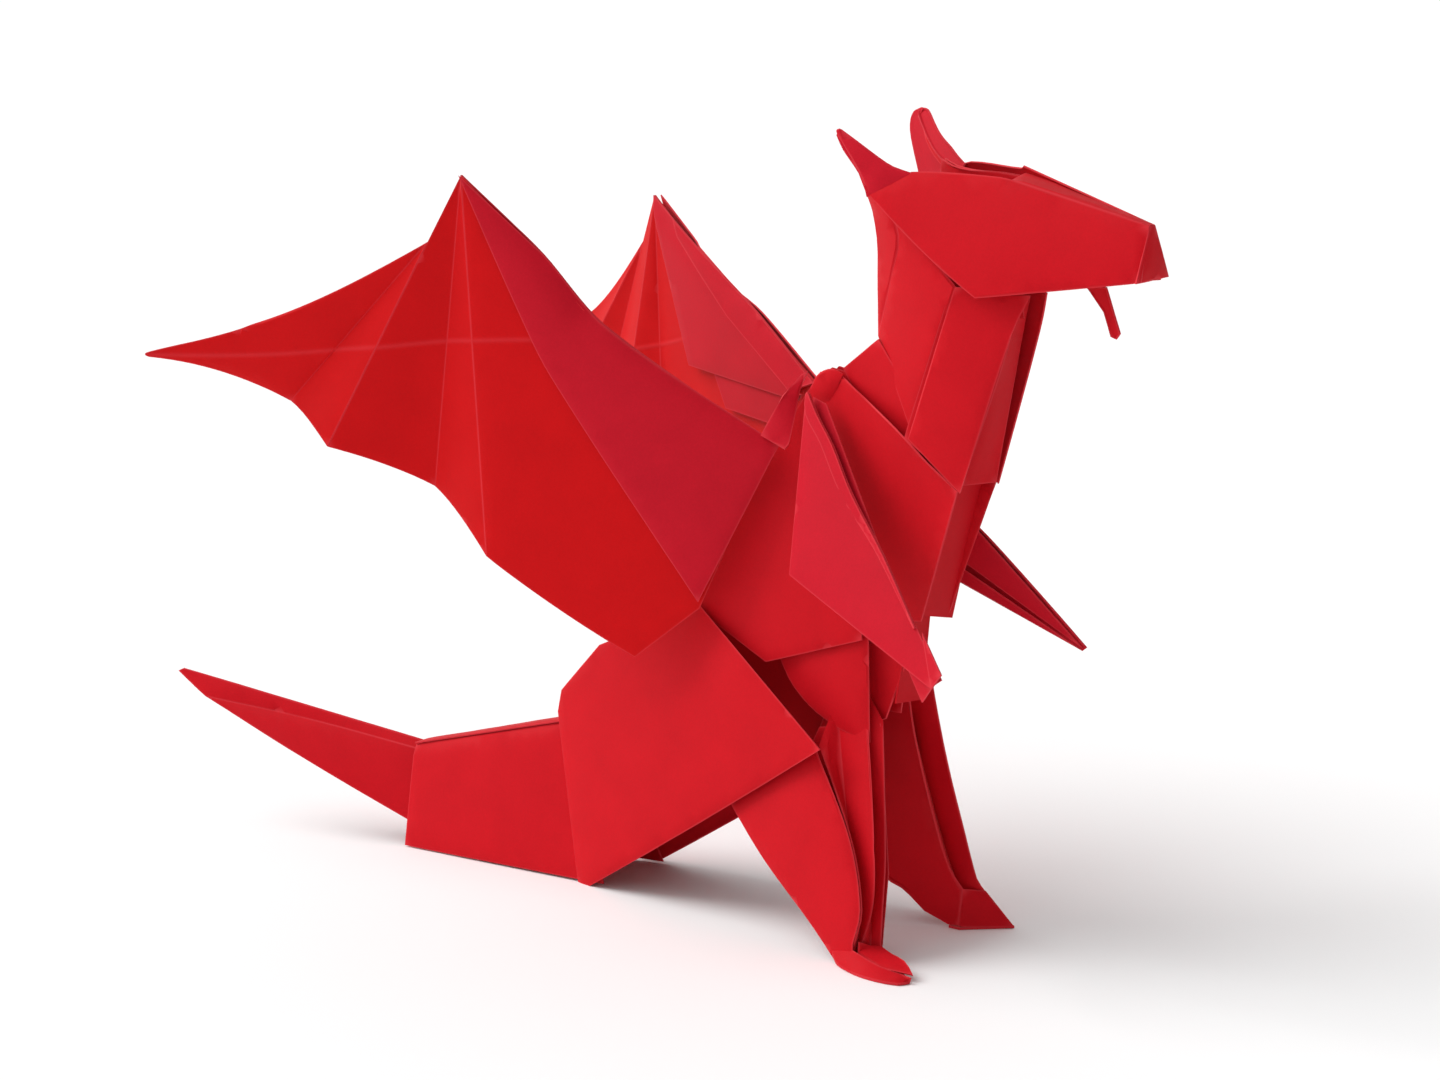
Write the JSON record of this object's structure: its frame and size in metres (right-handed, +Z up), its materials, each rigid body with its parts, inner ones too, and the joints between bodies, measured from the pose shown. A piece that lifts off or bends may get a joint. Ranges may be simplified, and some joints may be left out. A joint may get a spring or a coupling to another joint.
{
  "type": "origami dragon",
  "caption": "Folded red paper dragon standing on two legs and its haunches, with raised pleated wings, a reverse-folded neck and head, pointed arms and a long tapering tail.",
  "frame": {"origin": "on the surface the dragon stands on, at the centre of its footprint box", "axes": "+X towards the head, +Y towards the dragon's left, +Z up"},
  "size_m": [0.1979, 0.0945, 0.1366],
  "materials": {
    "red_paper_body": "matt uncoated paper, dyed red through",
    "red_paper_flap": "matt uncoated paper, outer folded layers",
    "red_paper_membrane": "matt uncoated paper, single-layer wing pleats"
  },
  "bodies": {
    "torso": {"right_torso_panel": "red_paper_body", "left_torso_panel": "red_paper_body", "right_chest_panel": "red_paper_body", "left_chest_panel": "red_paper_body", "chest_front": "red_paper_body", "chest_lower_layer": "red_paper_body", "back_panel": "red_paper_body", "saddle_panel": "red_paper_body", "rump_panel": "red_paper_body", "right_haunch_panel": "red_paper_body", "left_haunch_panel": "red_paper_body", "right_belly_flap": "red_paper_body", "left_belly_flap": "red_paper_body"},
    "neck": {"neck_back": "red_paper_body", "right_neck_rear_panel": "red_paper_body", "left_neck_rear_panel": "red_paper_body", "right_collar_panel": "red_paper_body", "left_collar_panel": "red_paper_body", "right_neck_side_panel": "red_paper_body", "left_neck_side_panel": "red_paper_body", "neck_front": "red_paper_body"},
    "head": {"right_head_panel": "red_paper_body", "left_head_panel": "red_paper_body", "snout_bridge": "red_paper_body", "snout_front": "red_paper_body"},
    "right_ear": {"right_ear": "red_paper_flap"},
    "left_ear": {"left_ear": "red_paper_flap"},
    "chin_spike": {"chin_spike": "red_paper_body"},
    "right_arm": {"right_arm_panel": "red_paper_flap", "right_arm_lining": "red_paper_flap"},
    "right_leg": {"right_leg_outer_panel": "red_paper_body", "right_leg_front_strip": "red_paper_body", "right_leg_inner_panel": "red_paper_body", "right_foot": "red_paper_body"},
    "right_wing": {"right_wing_leading_flap": "red_paper_flap", "right_wing_inner_flap": "red_paper_flap", "right_wing_membrane_1": "red_paper_membrane", "right_wing_gusset": "red_paper_flap"},
    "right_wing_fan_2": {"right_wing_membrane_2": "red_paper_membrane"},
    "right_wing_fan_3": {"right_wing_membrane_3": "red_paper_membrane"},
    "right_wing_fan_4": {"right_wing_membrane_4": "red_paper_membrane"},
    "right_wing_fan_5": {"right_wing_membrane_5": "red_paper_membrane"},
    "left_arm": {"left_arm_panel": "red_paper_flap", "left_arm_lining": "red_paper_flap"},
    "left_leg": {"left_leg_outer_panel": "red_paper_body", "left_leg_front_strip": "red_paper_body", "left_leg_inner_panel": "red_paper_body", "left_foot": "red_paper_body"},
    "left_wing": {"left_wing_leading_flap": "red_paper_flap", "left_wing_inner_flap": "red_paper_flap", "left_wing_membrane_1": "red_paper_membrane"},
    "left_wing_fan_2": {"left_wing_membrane_2": "red_paper_membrane"},
    "left_wing_fan_3": {"left_wing_membrane_3": "red_paper_membrane"},
    "left_wing_fan_4": {"left_wing_membrane_4": "red_paper_membrane"},
    "left_wing_fan_5": {"left_wing_membrane_5": "red_paper_membrane"},
    "tail_base": {"tail_base_right": "red_paper_body", "tail_base_left": "red_paper_body", "tail_base_top": "red_paper_body"},
    "tail_tip": {"tail_tip_right": "red_paper_body", "tail_tip_left": "red_paper_body"}
  },
  "joints": [
    {"name": "neck_nod", "type": "hinge", "parent": "torso", "child": "neck", "pos_m": [0.047, 0, 0.094], "axis": [0, 1, 0], "range_deg": [-12, 6]},
    {"name": "head_nod", "type": "hinge", "parent": "neck", "child": "head", "pos_m": [0.054, 0, 0.121], "axis": [0, 1, 0], "range_deg": [-10, 10]},
    {"name": "right_ear_fold", "type": "hinge", "parent": "head", "child": "right_ear", "pos_m": [0.0545, -0.00625, 0.1256], "axis": [0.8496, 0.2063, 0.4855], "range_deg": [-20, 15]},
    {"name": "left_ear_fold", "type": "hinge", "parent": "head", "child": "left_ear", "pos_m": [0.0545, 0.00625, 0.1256], "axis": [-0.8496, 0.2063, -0.4855], "range_deg": [-20, 15]},
    {"name": "chin_spike_swing", "type": "hinge", "parent": "head", "child": "chin_spike", "pos_m": [0.089, 0, 0.1113], "axis": [0, 1, 0], "range_deg": [-15, 20]},
    {"name": "right_arm_swing", "type": "hinge", "parent": "torso", "child": "right_arm", "pos_m": [0.03895, -0.00515, 0.0914], "axis": [-0.9679, 0.1442, 0.2059], "range_deg": [-4, 25]},
    {"name": "left_arm_swing", "type": "hinge", "parent": "torso", "child": "left_arm", "pos_m": [0.03895, 0.00515, 0.0914], "axis": [0.9679, 0.1442, -0.2059], "range_deg": [-4, 25]},
    {"name": "right_leg_swing", "type": "hinge", "parent": "torso", "child": "right_leg", "pos_m": [0.039, -0.006, 0.037], "axis": [0, 1, 0], "range_deg": [-8, 8]},
    {"name": "left_leg_swing", "type": "hinge", "parent": "torso", "child": "left_leg", "pos_m": [0.039, 0.006, 0.037], "axis": [0, 1, 0], "range_deg": [-8, 8]},
    {"name": "right_wing_flap", "type": "hinge", "parent": "torso", "child": "right_wing", "pos_m": [0.0325, -0.0055, 0.081], "axis": [0, 0, 1], "range_deg": [-8, 35]},
    {"name": "right_wing_pleat_1", "type": "hinge", "parent": "right_wing", "child": "right_wing_fan_2", "pos_m": [-0.01905, -0.0258, 0.1247], "axis": [0.0503, 0.0198, -0.9985], "range_deg": [-8, 12]},
    {"name": "right_wing_pleat_2", "type": "hinge", "parent": "right_wing_fan_2", "child": "right_wing_fan_3", "pos_m": [-0.01905, -0.0258, 0.1247], "axis": [-0.1604, 0.0357, -0.9864], "range_deg": [-24, 16]},
    {"name": "right_wing_pleat_3", "type": "hinge", "parent": "right_wing_fan_3", "child": "right_wing_fan_4", "pos_m": [-0.02481, -0.02808, 0.1134], "axis": [-0.4416, -0.174, -0.8802], "range_deg": [-16, 24]},
    {"name": "right_wing_pleat_4", "type": "hinge", "parent": "right_wing_fan_4", "child": "right_wing_fan_5", "pos_m": [-0.02481, -0.02808, 0.1134], "axis": [-0.6891, -0.1377, -0.7115], "range_deg": [-24, 16]},
    {"name": "left_wing_flap", "type": "hinge", "parent": "torso", "child": "left_wing", "pos_m": [0.0325, 0.0055, 0.081], "axis": [0, 0, -1], "range_deg": [-8, 35]},
    {"name": "left_wing_pleat_1", "type": "hinge", "parent": "left_wing", "child": "left_wing_fan_2", "pos_m": [-0.0196, 0.02602, 0.1181], "axis": [-0.0623, 0.0245, 0.9978], "range_deg": [-8, 12]},
    {"name": "left_wing_pleat_2", "type": "hinge", "parent": "left_wing_fan_2", "child": "left_wing_fan_3", "pos_m": [-0.0196, 0.02602, 0.1181], "axis": [0.1532, 0.0405, 0.9874], "range_deg": [-24, 16]},
    {"name": "left_wing_pleat_3", "type": "hinge", "parent": "left_wing_fan_3", "child": "left_wing_fan_4", "pos_m": [-0.0237, 0.02764, 0.1094], "axis": [0.3836, -0.1511, 0.9111], "range_deg": [-16, 24]},
    {"name": "left_wing_pleat_4", "type": "hinge", "parent": "left_wing_fan_4", "child": "left_wing_fan_5", "pos_m": [-0.0237, 0.02764, 0.1094], "axis": [0.5965, -0.1144, 0.7944], "range_deg": [-24, 16]},
    {"name": "tail_lift", "type": "hinge", "parent": "torso", "child": "tail_base", "pos_m": [-0.0179, 0, 0.0275], "axis": [0, 1, 0], "range_deg": [0, 15]},
    {"name": "tail_tip_lift", "type": "hinge", "parent": "tail_base", "child": "tail_tip", "pos_m": [-0.0504, -0.0065, 0.0186], "axis": [0, 1, 0], "range_deg": [-3, 20]}
  ],
  "couplings": [
    {"joint": "right_wing_pleat_2", "follows": "right_wing_pleat_1", "ratio": -2},
    {"joint": "right_wing_pleat_3", "follows": "right_wing_pleat_1", "ratio": 2},
    {"joint": "right_wing_pleat_4", "follows": "right_wing_pleat_1", "ratio": -2},
    {"joint": "left_wing_pleat_2", "follows": "left_wing_pleat_1", "ratio": -2},
    {"joint": "left_wing_pleat_3", "follows": "left_wing_pleat_1", "ratio": 2},
    {"joint": "left_wing_pleat_4", "follows": "left_wing_pleat_1", "ratio": -2}
  ]
}
